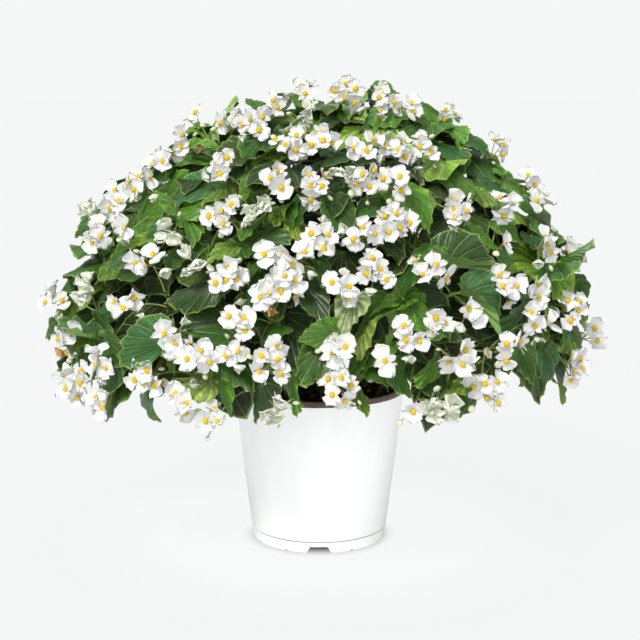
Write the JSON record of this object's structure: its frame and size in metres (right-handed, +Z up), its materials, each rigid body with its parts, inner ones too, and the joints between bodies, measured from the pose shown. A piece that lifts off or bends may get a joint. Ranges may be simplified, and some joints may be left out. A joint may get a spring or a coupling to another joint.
{
  "type": "potted begonia",
  "caption": "Flowering begonia in a plain white nursery pot: leafy canes standing in potting mix under a wide dome of small white flowers.",
  "frame": {"origin": "on the ground, under the middle of the pot", "axes": "+Z up, -Y towards the front with the gap in the lowest leaves over the lip, +X to the right seen from the front"},
  "size_m": [0.5207, 0.4856, 0.442],
  "materials": {
    "pot_plastic": "satin, moulded",
    "potting_mix": "loose bark and peat, damp",
    "leaf_tissue": "waxy, glossy above and dull beneath",
    "petal_tissue": "soft, finely sparkling"
  },
  "bodies": {
    "root": {"pot": "pot_plastic", "potting_mix": "potting_mix", "flower_spray_01": "petal_tissue", "flower_spray_02": "petal_tissue", "flower_spray_03": "petal_tissue", "flower_spray_04": "petal_tissue", "flower_spray_05": "petal_tissue", "flower_spray_06": "petal_tissue", "flower_spray_07": "petal_tissue", "flower_spray_08": "petal_tissue", "flower_spray_09": "petal_tissue", "flower_spray_10": "petal_tissue", "flower_spray_11": "petal_tissue", "flower_spray_12": "petal_tissue", "flower_spray_13": "petal_tissue", "flower_spray_14": "petal_tissue", "flower_spray_15": "petal_tissue", "flower_spray_16": "petal_tissue", "flower_spray_17": "petal_tissue", "flower_spray_18": "petal_tissue", "flower_spray_19": "petal_tissue", "flower_spray_20": "petal_tissue", "flower_spray_21": "petal_tissue", "flower_spray_22": "petal_tissue", "flower_spray_23": "petal_tissue", "flower_spray_24": "petal_tissue", "flower_spray_25": "petal_tissue", "flower_spray_26": "petal_tissue", "flower_spray_27": "petal_tissue", "flower_spray_28": "petal_tissue", "flower_spray_29": "petal_tissue", "flower_spray_30": "petal_tissue", "flower_spray_31": "petal_tissue", "flower_spray_32": "petal_tissue", "flower_spray_33": "petal_tissue", "flower_spray_34": "petal_tissue", "flower_spray_35": "petal_tissue", "flower_spray_36": "petal_tissue", "flower_spray_37": "petal_tissue", "flower_spray_38": "petal_tissue", "flower_spray_39": "petal_tissue", "flower_spray_40": "petal_tissue", "flower_spray_41": "petal_tissue", "leafy_stem_01": "leaf_tissue", "leafy_stem_02": "leaf_tissue", "leafy_stem_03": "leaf_tissue", "leafy_stem_04": "leaf_tissue", "leafy_stem_05": "leaf_tissue", "leafy_stem_06": "leaf_tissue", "leafy_stem_07": "leaf_tissue", "leafy_stem_08": "leaf_tissue", "leafy_stem_09": "leaf_tissue", "leafy_stem_10": "leaf_tissue", "leafy_stem_11": "leaf_tissue", "leafy_stem_12": "leaf_tissue"}
  },
  "joints": []
}
